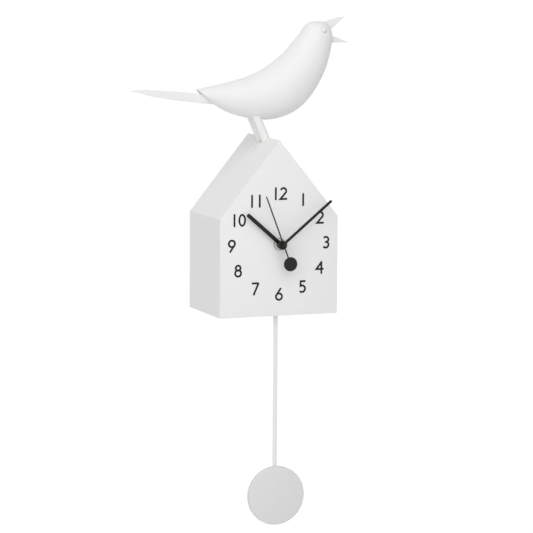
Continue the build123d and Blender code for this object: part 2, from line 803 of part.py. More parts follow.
# ---- line of the drive rod, from the beak pin back to the tail's arm
gap_x = beak_x - tail_x
gap_z = beak_z - tail_z
drive_angle = math.atan2(gap_z, gap_x) + math.asin(tail_arm / math.hypot(gap_x, gap_z))
drive_u = Vector(math.cos(drive_angle), 0, math.sin(drive_angle))
drive_n = Vector(-math.sin(drive_angle), 0, math.cos(drive_angle))
drive_lead = beak_arm * math.tan(math.radians(beak_swing / 2))
tail_u = -(gap_x * drive_u.X + gap_z * drive_u.Z)
tail_lead_angle = math.degrees(math.atan(drive_lead / tail_arm))


def on_line(u, n):
    """X and Z of a place given along the drive line and square to it."""
    return (beak_x + u * drive_u.X + n * drive_n.X, beak_z + u * drive_u.Z + n * drive_n.Z)


def strip(u0, u1, n0, n1, y0, y1):
    """Bar in line with the drive rod; y is from the bird's middle plane."""
    outline = poly(on_line(u0, n0), on_line(u1, n0), on_line(u1, n1), on_line(u0, n1))
    return slab(outline, mid + y0, mid + y1)


def pin_y(place, radius, y0, y1):
    return rod_y(place[0], place[1], radius, mid + y0, mid + y1)


beak_place = (beak_x, beak_z)
tail_place = (tail_x, tail_z)

# ---- tail outline: long pointed blade with a hub and an arm down to the drive rod
tail_blade = poly((tail_x + 3, tail_z + 3), (-85.0, 280.0), (-120.0, 283.8), (-151.0, 286.2),
                  (-169.5, 287.0), (-180.6, 285.6), (-169.5, 282.6), (-151.0, 277.9), (-120.0, 272.5),
                  (-88.7, 268.4), (-73.0, 266.6), (-69.0, 269.0), (tail_x + 3, tail_z - 4))
tail_pin_at = on_line(tail_u + drive_lead, 0)
tail_arm_turn = math.degrees(math.atan2(tail_pin_at[1] - tail_z, tail_pin_at[0] - tail_x))
arm_length = math.hypot(tail_pin_at[0] - tail_x, tail_pin_at[1] - tail_z)
tail_arm_at = Pos((tail_pin_at[0] + tail_x) / 2, (tail_pin_at[1] + tail_z) / 2) * Rot(0, 0, tail_arm_turn)
tail_outline = tail_blade + disc(tail_x, tail_z, 4.5) + tail_arm_at * SlotCenterToCenter(arm_length, 5.0)
tail_raised = Rot(0, 0, -2 * tail_lead_angle) * (Pos(-tail_x, -tail_z) * tail_outline)
tail_raised = Pos(tail_x, tail_z) * tail_raised

# ---- shells, with a slot for the beak, leg holes and a slot in the end wall for the swinging tail
shells = body - cavity
mouth_slot = slab(poly((beak_x, beak_z), (beak_x + 10, beak_z - 15), (beak_x + 22, beak_z - 10),
                       (beak_x + 30, beak_z + 24), (beak_x + 6, beak_z + 34), (beak_x - 2.4, beak_z + 20),
                       (beak_x - 1.6, beak_z + 8)),
                  mid - beak_half - part_gap, mid + beak_half + part_gap)
shells -= mouth_slot
for outline in (tail_outline, tail_raised):
    shells -= slab(offset(outline, part_gap), mid - tail_half - part_gap, mid + tail_half + part_gap)
for side in (-1, 1):
    shells -= leg_bar(leg_radius + part_gap, ridge_height + 10.0, leg_top, side)
boss_radius = 3.6
boss_places = [on_line(-25.0, -7.5), (-2.0, 262.0), on_line(-38.0, -34.0)]
bosses = Part()
for place in boss_places:
    bosses += pin_y(place, boss_radius, -40.0, 40.0)
shells += bosses & cavity
eye_place = (74.6, 359.7)
eye_depth = 16.4
eye_balls = []
for side in (-1, 1):
    ball = Pos(eye_place[0], mid + side * eye_depth, eye_place[1]) * Rot(90, 0, 0) * Sphere(eye_radius)
    shells -= ball
    shells -= Pos(0, side * eye_rim_lift, 0) * Pos(eye_place[0], mid + side * eye_depth, eye_place[1]) * Sphere(
        eye_radius + eye_rim_gap)
    eye_balls.append(ball)
keep("eyes", *eye_balls)
side_block = block(-200, 200, mid - 100, mid, 200, 420)
keep("right_shell", shells & side_block)
keep("left_shell", shells - side_block)

# ---- beak halves: a drum on the pin, half the width each, and a tapered horn in front


def beak(horn_outline, horn_angle, reach, drum_y0, drum_y1, arm_way):
    """Beak half. arm_way is -1 when its arm points below the drive line, 1 above."""
    horn = slab(horn_outline, mid - beak_half, mid + beak_half)
    along = Vector(math.cos(math.radians(horn_angle)), 0, math.sin(math.radians(horn_angle)))
    square_to = along.cross(Vector(0, 1, 0))
    plan = Plane(origin=Vector(beak_x, mid, beak_z) - square_to * 30, x_dir=along, z_dir=square_to)
    tip_half = 0.5
    taper = extrude(plan * poly((-20, beak_half), (9, beak_half), (reach, tip_half), (reach, -tip_half),
                                (9, -beak_half), (-20, -beak_half)), amount=60)
    horn = horn & taper
    horn -= pin_y(beak_place, beak_disc + part_gap, -drum_y1 if arm_way < 0 else -drum_y0,
                  -drum_y0 if arm_way < 0 else -drum_y1)
    drum = pin_y(beak_place, beak_disc, drum_y0, drum_y1)
    half_beak = horn + drum
    half_beak -= pin_y(beak_place, pin_radius + running_gap, -10, 10)
    arm = on_line(drive_lead, arm_way * beak_arm)
    arm_turn = math.degrees(math.atan2(arm[1] - beak_z, arm[0] - beak_x))
    slot = Pos(*arm) * Rot(0, 0, arm_turn) * SlotCenterToCenter(0.5, 2 * (drive_pin + 0.25))
    half_beak -= slab(slot, mid - 10, mid + 10)
    if arm_way < 0:
        half_beak -= slab(passing_slot, mid - 10, mid + 10)
    return half_beak


# the lower beak's drive pin passes through the upper beak's drum, in a curved slot
line_turn = math.degrees(drive_angle) + 90
passing_radius = (beak_arm + math.hypot(beak_arm, drive_lead)) / 2
passing_width = 2 * (drive_pin + 0.3)
passing_arc = CenterArc(beak_place, passing_radius, line_turn - beak_swing / 2 - 2, 2 * beak_swing + 4)
passing_slot = Sketch() + trace([passing_arc], line_width=passing_width)
for place in (passing_arc @ 0, passing_arc @ 1):
    passing_slot += disc(place.X, place.Y, passing_width / 2)


def around_beak(radius, angle):
    turn = math.radians(angle)
    return (beak_x + radius * math.cos(turn), beak_z + radius * math.sin(turn))


drum_gap = 0.15
upper_outline = poly(around_beak(7.0, 36), (110.8, 376.0), (100.5, 374.6), (91.5, 372.2), (81.6, 369.0),
                     around_beak(7.0, 96))
lower_outline = poly(around_beak(7.0, -19.5), (117.0, 342.6), (93.0, 342.7), around_beak(7.0, -51))
upper_beak = beak(upper_outline, 37.0, 36.0, drum_gap, beak_half, -1)
lower_beak = beak(lower_outline, -19.0, 36.5, -beak_half, -drum_gap, 1)
keep("upper_beak", upper_beak)
keep("lower_beak", lower_beak)

# ---- tail, thinned towards its tip
tail = slab(tail_outline, mid - tail_half, mid + tail_half)
tail -= pin_y(tail_place, pin_radius + running_gap, -10, 10)
tail -= slab(Pos(*tail_pin_at) * Rot(0, 0, tail_arm_turn) * SlotCenterToCenter(0.5, 2 * (drive_pin + 0.25)),
             mid - 10, mid + 10)
tail_plan = Plane(origin=(0, mid, 200), x_dir=(1, 0, 0), z_dir=(0, 0, 1))
tail &= extrude(tail_plan * poly((-181, 0.3), (-150, 1.4), (-100, tail_half), (0, tail_half), (0, -tail_half),
                                 (-100, -tail_half), (-150, -1.4), (-181, -0.3)), amount=150)
keep("tail", tail)

# ---- chassis: plate behind the mechanism, pin bosses, solenoid seat and leg clamp
plate_near = solenoid_size / 2
plate_far = plate_near + 1.5
solenoid_u0, solenoid_u1 = -80.0, -80.0 + solenoid_length
solenoid_half = solenoid_size / 2
chassis_outline = poly((beak_x + 2.2, beak_z - 3.0), (beak_x + 2.2, beak_z + 2.4), (beak_x - 5, beak_z + 4.5),
                       on_line(-28, 4), on_line(solenoid_u1 + 6, 3), on_line(tail_u + 20, 3),
                       (tail_x + 4, tail_z + 4.5), (tail_x - 3, tail_z + 3.0), (tail_x - 2.6, tail_z - 3.0),
                       (-34.0, 262.0), (6.0, 258.0), on_line(solenoid_u1, -20), on_line(-20, -14))
chassis = slab(chassis_outline, mid + plate_near, mid + plate_far)
clamp_centre = leg_point(leg_top - 5.5, 0)
clamp_plane = Plane(origin=clamp_centre, x_dir=leg_side, z_dir=leg_up)
clamp_y = leg_spacing + 2 * leg_radius + 2.0
clamp = clamp_plane * Box(2 * leg_radius + 5.0, clamp_y, 12.0)
chassis += clamp
chassis &= clear_space
for side in (-1, 1):
    chassis -= leg_bar(leg_radius + running_gap, ridge_height, leg_top + 5, side)
for place in boss_places:
    chassis -= pin_y(place, boss_radius + part_gap, -40.0, 40.0)
chassis -= pin_y(beak_place, pin_radius, 0, 20)
chassis -= pin_y(tail_place, pin_radius, 0, 20)
keep("bird_chassis", chassis)
pin_end = 1.0
keep("pivot_pins", pin_y(beak_place, pin_radius, -beak_half - pin_end, plate_far),
     pin_y(tail_place, pin_radius, -beak_half - pin_end, plate_far))

# ---- solenoid and the drive rod that its plunger carries
solenoid = strip(solenoid_u0, solenoid_u1, plunger_offset - solenoid_half, plunger_offset + solenoid_half,
                 -solenoid_half, solenoid_half)


def plunger_bar(radius, u0, u1):
    low = on_line(u0, plunger_offset)
    high = on_line(u1, plunger_offset)
    return bar((low[0], mid, low[1]), (high[0], mid, high[1]), radius)


solenoid -= plunger_bar(plunger_radius + running_gap, solenoid_u0, solenoid_u1)
keep("solenoid", solenoid)

strip_near = 4.6
strip_far = 6.1
travel_room = 4.0
front_bridge = solenoid_u1 + travel_room
rear_bridge = solenoid_u0 - travel_room
drive_rod = plunger_bar(plunger_radius, rear_bridge, front_bridge)
bridge_low = plunger_offset - plunger_radius
drive_rod += strip(front_bridge, front_bridge + 4, bridge_low, 2, -plunger_radius, strip_far)
drive_rod += strip(rear_bridge - 4, rear_bridge, bridge_low, 2, -plunger_radius, strip_far)
drive_rod += strip(front_bridge, -4, -2, 2, strip_near, strip_far)
drive_rod += strip(-5, drive_lead + 2.2, -beak_arm - 1.8, beak_arm + 1.8, strip_near, strip_far)
drive_rod += strip(tail_u + drive_lead - 2.2, rear_bridge, -2, 2, strip_near, strip_far)
yoke_slot = strip(-pin_radius - 0.3, 2 * drive_lead + pin_radius + 0.3, -pin_radius - 0.2,
                  pin_radius + 0.2, strip_near, strip_far)
drive_rod -= yoke_slot
drive_rod += pin_y(on_line(drive_lead, -beak_arm), drive_pin, drum_gap + 0.3, strip_far)
drive_rod += pin_y(on_line(drive_lead, beak_arm), drive_pin, -beak_half + 0.3, strip_far)
drive_rod += pin_y(tail_pin_at, drive_pin, -tail_half, strip_far)
keep("drive_rod", drive_rod)

# ---------------------------------------------------------------- sound and power
speaker_base = wood
speaker_depth = 10.0
speaker_at = (speaker_x, speaker_y, speaker_base)
frame_wall = 1.5
speaker = bar(speaker_at, (speaker_x, speaker_y, speaker_base + speaker_depth), speaker_radius)
speaker -= bar(speaker_at, (speaker_x, speaker_y, speaker_base + speaker_depth - frame_wall),
               speaker_radius - frame_wall)
speaker += bar((speaker_x, speaker_y, speaker_base + speaker_depth),
               (speaker_x, speaker_y, speaker_base + speaker_depth + 6), speaker_radius * 0.5)
keep("speaker_frame", speaker)
cone_rim = Plane(origin=(speaker_x, speaker_y, speaker_base + 0.8))
cone_top = cone_rim.offset(speaker_depth - frame_wall - 0.8)
cone_outer = loft([cone_rim * Circle(speaker_radius - frame_wall), cone_top * Circle(8.0)])
cone_inner = loft([cone_rim * Circle(speaker_radius - frame_wall - 0.8), cone_top * Circle(7.2)])
keep("speaker_cone", cone_outer - cone_inner)

holder_x0 = 12.0
holder_wall = 1.2
cell_count = 3
cell_pitch = 2 * cell_radius + 0.6
holder_width = cell_count * cell_pitch + 2 * holder_wall
holder_y1 = back_inner - block_depth - 4.0
holder_y0 = holder_y1 - cell_length - 2 * holder_wall - 1.0
holder_top = wood + 14.0
holder = block(holder_x0, holder_x0 + holder_width, holder_y0, holder_y1, wood, holder_top)
holder -= block(holder_x0 + holder_wall, holder_x0 + holder_width - holder_wall, holder_y0 + holder_wall,
                holder_y1 - holder_wall, wood + holder_wall, holder_top)
keep("battery_holder", holder)
cells = []
for index in range(cell_count):
    cell_x = holder_x0 + holder_wall + cell_pitch * (index + 0.5)
    cell_z = wood + holder_wall + cell_radius
    cell_y = holder_y0 + holder_wall + 0.5
    cell = bar((cell_x, cell_y, cell_z), (cell_x, cell_y + cell_length - 1.5, cell_z), cell_radius)
    cell += bar((cell_x, cell_y, cell_z), (cell_x, cell_y + cell_length, cell_z), 2.75)
    cells.append(cell)
keep("battery_cells", *cells)

# ---- sound board on four spacers on the right wall, with a mode switch and a test button
board_x = inner_half - 6.0
board_thickness = 1.6
board_y0, board_y1 = -78.0, -28.0
board_z0, board_z1 = 48.0, 98.0
sound_board = block(board_x - board_thickness, board_x, board_y0, board_y1, board_z0, board_z1)
spacers = []
for y in (board_y0 + 5, board_y1 - 5):
    for z in (board_z0 + 5, board_z1 - 5):
        spacers.append(bar((board_x, y, z), (inner_half, y, z), 2.5))
board_face = board_x - board_thickness
sound_chip = block(board_face - 1.5, board_face, -70.0, -58.0, 66.0, 80.0)
switch_y, switch_z = -36.0, 84.0
switch_travel = 4.0
switch_half = 2.0
housing = block(board_face - 6, board_face, switch_y - 3.5, switch_y + 3.5, switch_z - 7, switch_z + 7)
housing -= block(board_face - 6, board_face - 1, switch_y - 1.5, switch_y + 1.5, switch_z - 5, switch_z + 5)
button_y, button_z = -36.0, 62.0
button_radius = 2.5
button_travel = 1.2
button_case = block(board_face - 6, board_face, button_y - 5, button_y + 5, button_z - 5, button_z + 5)
button_bore = button_radius + running_gap
button_case -= bar((board_face - 6, button_y, button_z), (board_face - 1, button_y, button_z), button_bore)
keep("sound_board", sound_board, *spacers, sound_chip, housing, button_case)
stem_gap = 0.1
stem_z = switch_z - switch_travel / 2
mode_switch = block(board_face - 10, board_face - 1 - stem_gap, switch_y - 1.5 + stem_gap,
                    switch_y + 1.5 - stem_gap, stem_z - switch_half, stem_z + switch_half)
keep("mode_switch", mode_switch)
keep("test_button", bar((board_face - 9, button_y, button_z),
                        (board_face - 1 - button_travel - stem_gap, button_y, button_z), button_radius))

# ---------------------------------------------------------------- write the parts
os.makedirs("parts", exist_ok=True)
for name, solids in parts.items():
    group = [Pos(0, 0, -hook_height) * piece for solid in solids for piece in solid.solids()]
    shape = group[0] if len(group) == 1 else Compound(group)
    export_step(shape, f"parts/{name}.step")
print(len(parts), "parts; drive rod at", round(math.degrees(drive_angle), 3), "degrees, stroke",
      round(2 * drive_lead, 4), "mm, tail swing", round(2 * tail_lead_angle, 3), "degrees")
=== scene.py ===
import math

import bmesh
import bpy
from mathutils import Matrix, Vector


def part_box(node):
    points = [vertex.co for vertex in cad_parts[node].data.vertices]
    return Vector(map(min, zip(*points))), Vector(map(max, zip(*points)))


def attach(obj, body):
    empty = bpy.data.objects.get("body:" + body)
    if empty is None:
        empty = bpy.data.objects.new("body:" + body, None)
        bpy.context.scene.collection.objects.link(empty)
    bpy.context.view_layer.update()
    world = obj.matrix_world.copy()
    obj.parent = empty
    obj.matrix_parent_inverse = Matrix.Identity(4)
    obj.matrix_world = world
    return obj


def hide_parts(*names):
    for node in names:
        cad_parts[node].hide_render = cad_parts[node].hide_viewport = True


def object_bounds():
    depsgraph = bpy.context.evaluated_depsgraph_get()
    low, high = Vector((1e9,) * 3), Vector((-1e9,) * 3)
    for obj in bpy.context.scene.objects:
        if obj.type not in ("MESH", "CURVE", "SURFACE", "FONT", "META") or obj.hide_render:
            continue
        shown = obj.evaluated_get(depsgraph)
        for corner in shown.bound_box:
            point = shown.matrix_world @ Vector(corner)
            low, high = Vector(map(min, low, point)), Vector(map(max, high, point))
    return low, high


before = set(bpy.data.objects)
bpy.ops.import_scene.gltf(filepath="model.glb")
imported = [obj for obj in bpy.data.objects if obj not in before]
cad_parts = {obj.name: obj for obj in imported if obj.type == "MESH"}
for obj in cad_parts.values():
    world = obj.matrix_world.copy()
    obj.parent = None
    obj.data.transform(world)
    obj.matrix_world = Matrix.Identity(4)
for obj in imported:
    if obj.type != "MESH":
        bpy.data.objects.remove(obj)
cad_low, cad_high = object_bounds()
bpy.context.scene.view_settings.view_transform = "Standard"


# ------------------------------------------------------------------ camera
# Stands a little to the left and a little above, far enough away that the case keeps
# nearly parallel edges, and leans by a fraction of a degree.
eye = Vector((-1.35203, -3.50900, 0.36915))
lean = math.radians(0.37)
look_down = math.radians(7.418)
look_across = math.radians(21.452)
turn = Matrix.Rotation(lean, 3, "Y")
turn = turn @ Matrix.Rotation(look_down, 3, "X")
turn = turn @ Matrix.Rotation(look_across, 3, "Z")
level = Matrix.Rotation(math.radians(90), 4, "X")
camera_data = bpy.data.cameras.new("camera")
camera_data.sensor_width = 36.0
camera_data.lens = 196.43
camera = bpy.data.objects.new("camera", camera_data)
camera.matrix_world = Matrix.Translation(eye) @ turn.transposed().to_4x4() @ level
bpy.context.collection.objects.link(camera)
bpy.context.scene.camera = camera


# ------------------------------------------------------------------ room, lamp and floor
# A pale room, darker towards its sides and most of all on the right, lights the clock
# from all round, with one broad soft lamp from the left, the front and above. The
# floor keeps the clock's faint shadow.
class Wire:
    """One socket of a tree of nodes. Arithmetic on it adds Math nodes."""

    def __init__(self, tree, socket=None):
        self.tree = tree
        self.socket = socket

    def node(self, kind, settings, sockets, out=0):
        """Adds a node: first its settings, then the values or links of its sockets."""
        made = self.tree.nodes.new(kind)
        for name, value in settings.items():
            if name == "stops":
                ramp = made.color_ramp.elements
                while len(ramp) < len(value):
                    ramp.new(1.0)
                for element, (place, colour) in zip(ramp, value):
                    element.position = place
                    element.color = colour
            else:
                setattr(made, name, value)
        for name, value in sockets.items():
            if isinstance(value, Wire):
                self.tree.links.new(value.socket, made.inputs[name])
            else:
                made.inputs[name].default_value = value
        return Wire(self.tree, made.outputs[out] if made.outputs else None)

    def maths(self, operation, first, second):
        return self.node("ShaderNodeMath", {"operation": operation}, {0: first, 1: second})

    def __add__(self, other):
        return self.maths("ADD", self, other)

    def __radd__(self, other):
        return self.maths("ADD", other, self)

    def __sub__(self, other):
        return self.maths("SUBTRACT", self, other)

    def __rsub__(self, other):
        return self.maths("SUBTRACT", other, self)

    def __mul__(self, other):
        return self.maths("MULTIPLY", self, other)

    def __rmul__(self, other):
        return self.maths("MULTIPLY", other, self)


def sight(wire):
    """1 for rays that show the background: seen directly, in a gloss or through glass."""
    ray = "ShaderNodeLightPath"
    return (wire.node(ray, {}, {}, "Is Camera Ray") + wire.node(ray, {}, {}, "Is Glossy Ray")
            + wire.node(ray, {}, {}, "Is Transmission Ray"))


def start(name):
    """A new empty material and the wire that builds it."""
    made = bpy.data.materials.new(name)
    made.use_nodes = True
    made.node_tree.nodes.clear()
    return made, Wire(made.node_tree)


def cast(name, shape, material):
    """Makes a finished shape an object with one material."""
    mesh = bpy.data.meshes.new(name)
    shape.to_mesh(mesh)
    shape.free()
    mesh.materials.append(material)
    made = bpy.data.objects.new(name, mesh)
    bpy.context.collection.objects.link(made)
    return made


room_light = 0.66
side_shade = 0.56
right_shade = 0.08
world = bpy.data.worlds.new("room")
bpy.context.scene.world = world
world.use_nodes = True
world.node_tree.nodes.clear()
room = Wire(world.node_tree)
facing = room.node("ShaderNodeTexCoord", {}, {}, "Generated")
across = room.node("ShaderNodeSeparateXYZ", {}, {"Vector": facing}, "X")
soft = room_light - right_shade * across - side_shade * (across * across)
room_strength = soft + (1 - soft) * sight(room)
glow = room.node("ShaderNodeBackground", {}, {"Color": (1, 1, 1, 1), "Strength": room_strength})
room.node("ShaderNodeOutputWorld", {}, {"Surface": glow})

lamp_way = Vector((0.46, 0.72, -0.55))
lamp_data = bpy.data.lights.new("broad_lamp", "SUN")
lamp_data.angle = math.radians(75)
lamp_data.energy = 1.36
lamp = bpy.data.objects.new("broad_lamp", lamp_data)
lamp.rotation_euler = lamp_way.to_track_quat("-Z", "Y").to_euler()
bpy.context.collection.objects.link(lamp)

floor_drop = 0.28
floor_size = 90.0
floor_glow = 0.36
floor_grey = (0.9, 0.9, 0.9, 1)
floor_paint, ground = start("pale_floor")
matt = ground.node("ShaderNodeBsdfDiffuse", {}, {"Color": floor_grey})
white = ground.node("ShaderNodeEmission", {}, {"Color": (1, 1, 1, 1), "Strength": floor_glow * sight(ground)})
shown = ground.node("ShaderNodeAddShader", {}, {0: matt, 1: white})
ground.node("ShaderNodeOutputMaterial", {}, {"Surface": shown})
floor_shape = bmesh.new()
bmesh.ops.create_grid(floor_shape, x_segments=2, y_segments=2, size=floor_size,
                      matrix=Matrix.Translation((0, 0, cad_low.z - floor_drop)))
floor = cast("floor", floor_shape, floor_paint)


# ------------------------------------------------------------------ painted case
# A gabled box of 6 mm fibreboard, glued, filled at the joints and sprayed white.
# The front covers the edges of the walls and roof; its own rim is slightly eased.
case_white = (0.905, 0.905, 0.9)
rim_rounding = 0.0003
hole_room = 0.0003
hole_zone = 0.02
square_enough = 0.5
micron = 1e-6
crease = math.radians(32)
face_order = Vector((1, 2, 3))
front_low, front_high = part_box("front_panel")
washer_low, washer_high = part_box("fixing_washer")
bush_low, bush_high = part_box("threaded_bush")
bush_radius = (bush_high.x - bush_low.x) / 2
dial = (washer_low + washer_high) / 2
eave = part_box("right_wall")[1].z


def place_on(wire):
    """Where a point is on its own piece, which stays the same as the piece moves."""
    return wire.node("ShaderNodeTexCoord", {}, {}, "Object")


def speckle(wire, size, detail=2.0, closer=(1, 1, 1)):
    """Cloudy pattern from 0 to 1 in patches about size metres wide, or closer along an axis."""
    place = wire.node("ShaderNodeMapping", {}, {"Vector": place_on(wire), "Scale": closer})
    return wire.node("ShaderNodeTexNoise", {}, {"Vector": place, "Scale": 1 / size, "Detail": detail})


def blend(wire, mask, dark, light):
    """Colour between two, by a mask from 0 to 1. Sockets 6 and 7 of a Mix take colours."""
    ends = [end if isinstance(end, Wire) else (*end, 1) for end in (dark, light)]
    return wire.node("ShaderNodeMix", {"data_type": "RGBA"}, {0: mask, 6: ends[0], 7: ends[1]}, 2)


def skin(wire, colour, roughness, height, depth, **fixed):
    """Ends a material: its colour, roughness and bump, then what is the same all over."""
    relief = wire.node("ShaderNodeBump", {}, {"Strength": 1.0, "Distance": depth, "Height": height})
    sockets = {"Base Color": colour, "Roughness": roughness, "Normal": relief, "Specular IOR Level": 0.3}
    sockets.update({name.replace("_", " "): value for name, value in fixed.items()})
    shader = wire.node("ShaderNodeBsdfPrincipled", {}, sockets)
    wire.node("ShaderNodeOutputMaterial", {}, {"Surface": shader})


def coated(name, colour, rough, peel=0.0009, depth=0.000012, tint=0.985):
    """Sprayed or moulded finish: a faint orange peel, and a slightly uneven colour and gloss."""
    colour_patch = 0.03
    gloss_patch = 0.012
    gloss_spread = 0.06
    made, wire = start(name)
    shade = blend(wire, speckle(wire, colour_patch), [part * tint for part in colour], colour)
    roughness = rough - gloss_spread / 2 + gloss_spread * speckle(wire, gloss_patch)
    skin(wire, shade, roughness, speckle(wire, peel), depth)
    return made


def finish(material, *nodes):
    """Gives nodes of the clock their finish."""
    for node in nodes:
        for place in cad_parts[node].material_slots:
            place.material = material


def fit(name, shape, material, body, colour_slot, *nodes):
    """Makes a finished shape a piece that rides on a body and stands for its nodes."""
    bmesh.ops.recalc_face_normals(shape, faces=shape.faces[:])
    made = cast(name, shape, material)
    made.data.shade_smooth()
    made.data.set_sharp_from_angle(angle=crease)
    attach(made, body)
    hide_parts(*nodes)


def soften(shape, edges, width, steps=3):
    """Rounds edges over."""
    bmesh.ops.bevel(shape, geom=edges, offset=width, segments=steps, affect="EDGES",
                    profile=0.5, material=-1)


def upright(centre, depth):
    """Stands a flat round shape on the clock, its axis along Y, at a centre and a depth."""
    return Matrix.Translation((centre.x, depth, centre.z)) @ Matrix.Rotation(math.pi / 2, 4, "X")


def thicken(shape, thickness):
    """Gives a flat shape a thickness along Y."""
    grown = bmesh.ops.extrude_face_region(shape, geom=shape.faces[:])["geom"]
    points = [part for part in grown if isinstance(part, bmesh.types.BMVert)]
    bmesh.ops.translate(shape, vec=(0, thickness, 0), verts=points)


satin_paint = coated("satin_white_paint", case_white, rough=0.5)
outline = [(front_low.x, front_low.z), (front_high.x, front_low.z), (front_high.x, eave),
           (0, front_high.z), (front_low.x, eave)]
panel = bmesh.new()
rim = [panel.verts.new((x, front_low.y, z)) for x, z in outline]
for one, two in zip(rim, rim[1:] + rim[:1]):
    panel.edges.new((one, two))
bmesh.ops.create_circle(panel, segments=64, radius=bush_radius + hole_room,
                        matrix=upright(dial, front_low.y))
bmesh.ops.triangle_fill(panel, use_beauty=True, edges=panel.edges[:])
bmesh.ops.dissolve_limit(panel, angle_limit=0.01, verts=panel.verts[:], edges=panel.edges[:])
thicken(panel, front_high.y - front_low.y)
front_rim = [edge for edge in panel.edges
             if all(abs(end.co.y - front_low.y) < micron for end in edge.verts)
             and all((end.co - dial).length > hole_zone for end in edge.verts)
             and len(edge.link_faces) == 2
             and abs(edge.link_faces[0].normal.dot(edge.link_faces[1].normal)) < square_enough]
soften(panel, front_rim, rim_rounding)
# The extrusion adds the hole's faces in no fixed order, so they are put in one.
panel.faces.sort(key=lambda face: face.calc_center_median().dot(face_order))
fit("painted_front", panel, satin_paint, "case", "white_paint", "front_panel")
finish(satin_paint, "left_wall", "right_wall", "left_roof_panel", "right_roof_panel", "floor_panel")


# ------------------------------------------------------------------ moulded back and door
# The back is one plain moulding set between the walls, with a fine spark-etched grain.
# The service door slides down out of its groove, pushed by its five finger ridges.
moulded_back = coated("moulded_white_back", (0.84, 0.84, 0.825), rough=0.6, peel=0.0005, depth=0.00003)
finish(moulded_back, "back_panel", "service_door")


# ------------------------------------------------------------------ hanger plate and wood screws
# A stamped keyhole plate and its countersunk screws, both zinc plated, with the
# faint cloudy spangle and rolling lines of plated sheet.
def plated(name, dark, light, rough, closer=(1, 1, 1)):
    """Bare or plated metal with cloudy patches, and fine marks set closer along an axis."""
    shinier = 0.06
    gloss_spread = 0.14
    made, wire = start(name)
    cloud = speckle(wire, size=0.004, detail=4.0)
    shade = blend(wire, cloud, dark, light)
    roughness = rough - shinier + gloss_spread * cloud
    marks = speckle(wire, size=0.0006, detail=3.0, closer=closer)
    skin(wire, shade, roughness, marks, depth=0.00001, Metallic=1.0)
    return made


zinc = plated("zinc_plate", (0.5, 0.51, 0.53), (0.7, 0.71, 0.72), rough=0.36, closer=(1, 1, 8))
finish(zinc, "hanger_plate", "wood_screws")


# ------------------------------------------------------------------ glue blocks and perch block
# Offcuts of pale softwood, unpainted inside the case, with straight close grain. Only
# the perch block's thin fin, which fills the cut in the ridge, is sprayed with the case.
def softwood(name, painted=False):
    """Bare wood with its growth rings drawn out from front to back, its fin painted if asked."""
    drawn_back = (1, 0.12, 1)
    painted_half = 0.00135
    made, wire = start(name)
    rings = speckle(wire, size=0.0035, detail=5.0, closer=drawn_back)
    pores = speckle(wire, size=0.0006, detail=3.0, closer=drawn_back)
    wood = blend(wire, rings, (0.52, 0.34, 0.18), (0.78, 0.6, 0.4))
    if painted:
        perch_low, perch_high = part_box("perch_block")
        back = wire.node("ShaderNodeSeparateXYZ", {}, {"Vector": place_on(wire)}, "Y")
        off_middle = wire.maths("ABSOLUTE", back - (perch_low.y + perch_high.y) / 2, 0)
        wood = blend(wire, wire.maths("LESS_THAN", off_middle, painted_half), wood, case_white)
    skin(wire, wood, roughness=0.62 + 0.15 * rings, height=pores, depth=0.00005)
    return made


finish(softwood("softwood_block"), "corner_blocks")
finish(softwood("softwood_perch", painted=True), "perch_block")


# ------------------------------------------------------------------ numerals
# Thin figures of one stroke width, screen printed in one thick pass of black ink
# that stands slightly proud of the paint.
ink, ink_wire = start("printed_ink")
ink_cloud = speckle(ink_wire, size=0.002, detail=3.0)
ink_black = blend(ink_wire, ink_cloud, (0.003, 0.003, 0.0035), (0.008, 0.008, 0.009))
skin(ink_wire, ink_black, roughness=0.42 + 0.1 * ink_cloud, height=speckle(ink_wire, size=0.0004),
     depth=0.000006)
finish(ink, "numerals")


# ------------------------------------------------------------------ washer, nut and bush
# Turned brass: a flat washer under a low six-sided nut whose corners are eased, on
# the end of the movement's threaded bush, dulled to a warm grey, with dark rings of
# painted shadow at the washer's rim and nearer the axis.
def add_plate(shape, plate, rounding, steps=3):
    """Rounds the two rims of a plate that stands across Y, and adds it to a shape."""
    rims = [edge for edge in plate.edges if abs(edge.verts[0].co.y - edge.verts[1].co.y) < micron]
    soften(plate, rims, rounding, steps)
    mesh = bpy.data.meshes.new("plate")
    plate.to_mesh(mesh)
    plate.free()
    shape.from_mesh(mesh)
    bpy.data.meshes.remove(mesh)


def drum(shape, centre, radius, near, far, rounding, sides):
    """Adds a closed plate with this many sides along Y, from near to far, its rims rounded."""
    plate = bmesh.new()
    bmesh.ops.create_cone(plate, cap_ends=True, segments=sides, radius1=radius, radius2=radius,
                          depth=far - near, matrix=upright(centre, (near + far) / 2))
    add_plate(shape, plate, rounding)


# Painted shadow: dark rings, set by distance from the dial's axis, at the washer's outer rim and in a ring
# nearer the axis. They darken the bush, nut and washer alike.
unshaded = (1, 1, 1, 1)
groove_painted_shadow = (0.3, 0.3, 0.3, 1)
rim_painted_shadow = (0.42, 0.42, 0.42, 1)
painted_shadow_by_centimetre = [(0.40, unshaded), (0.44, groove_painted_shadow), (0.50, groove_painted_shadow), (0.55, unshaded),
                       (0.70, unshaded), (0.76, rim_painted_shadow)]
centimetres = 100.0
brass, brass_wire = start("turned_brass")
from_dial = brass_wire.node("ShaderNodeMapping", {},
                            {"Vector": place_on(brass_wire), "Location": (-dial.x, 0, -dial.z)})
tool_marks = brass_wire.node("ShaderNodeTexWave", {"wave_type": "RINGS", "rings_direction": "Y"},
                             {"Vector": from_dial, "Scale": 900.0, "Distortion": 0.4})
flat_place = brass_wire.node("ShaderNodeVectorMath", {"operation": "MULTIPLY"}, {0: from_dial, 1: (1, 0, 1)})
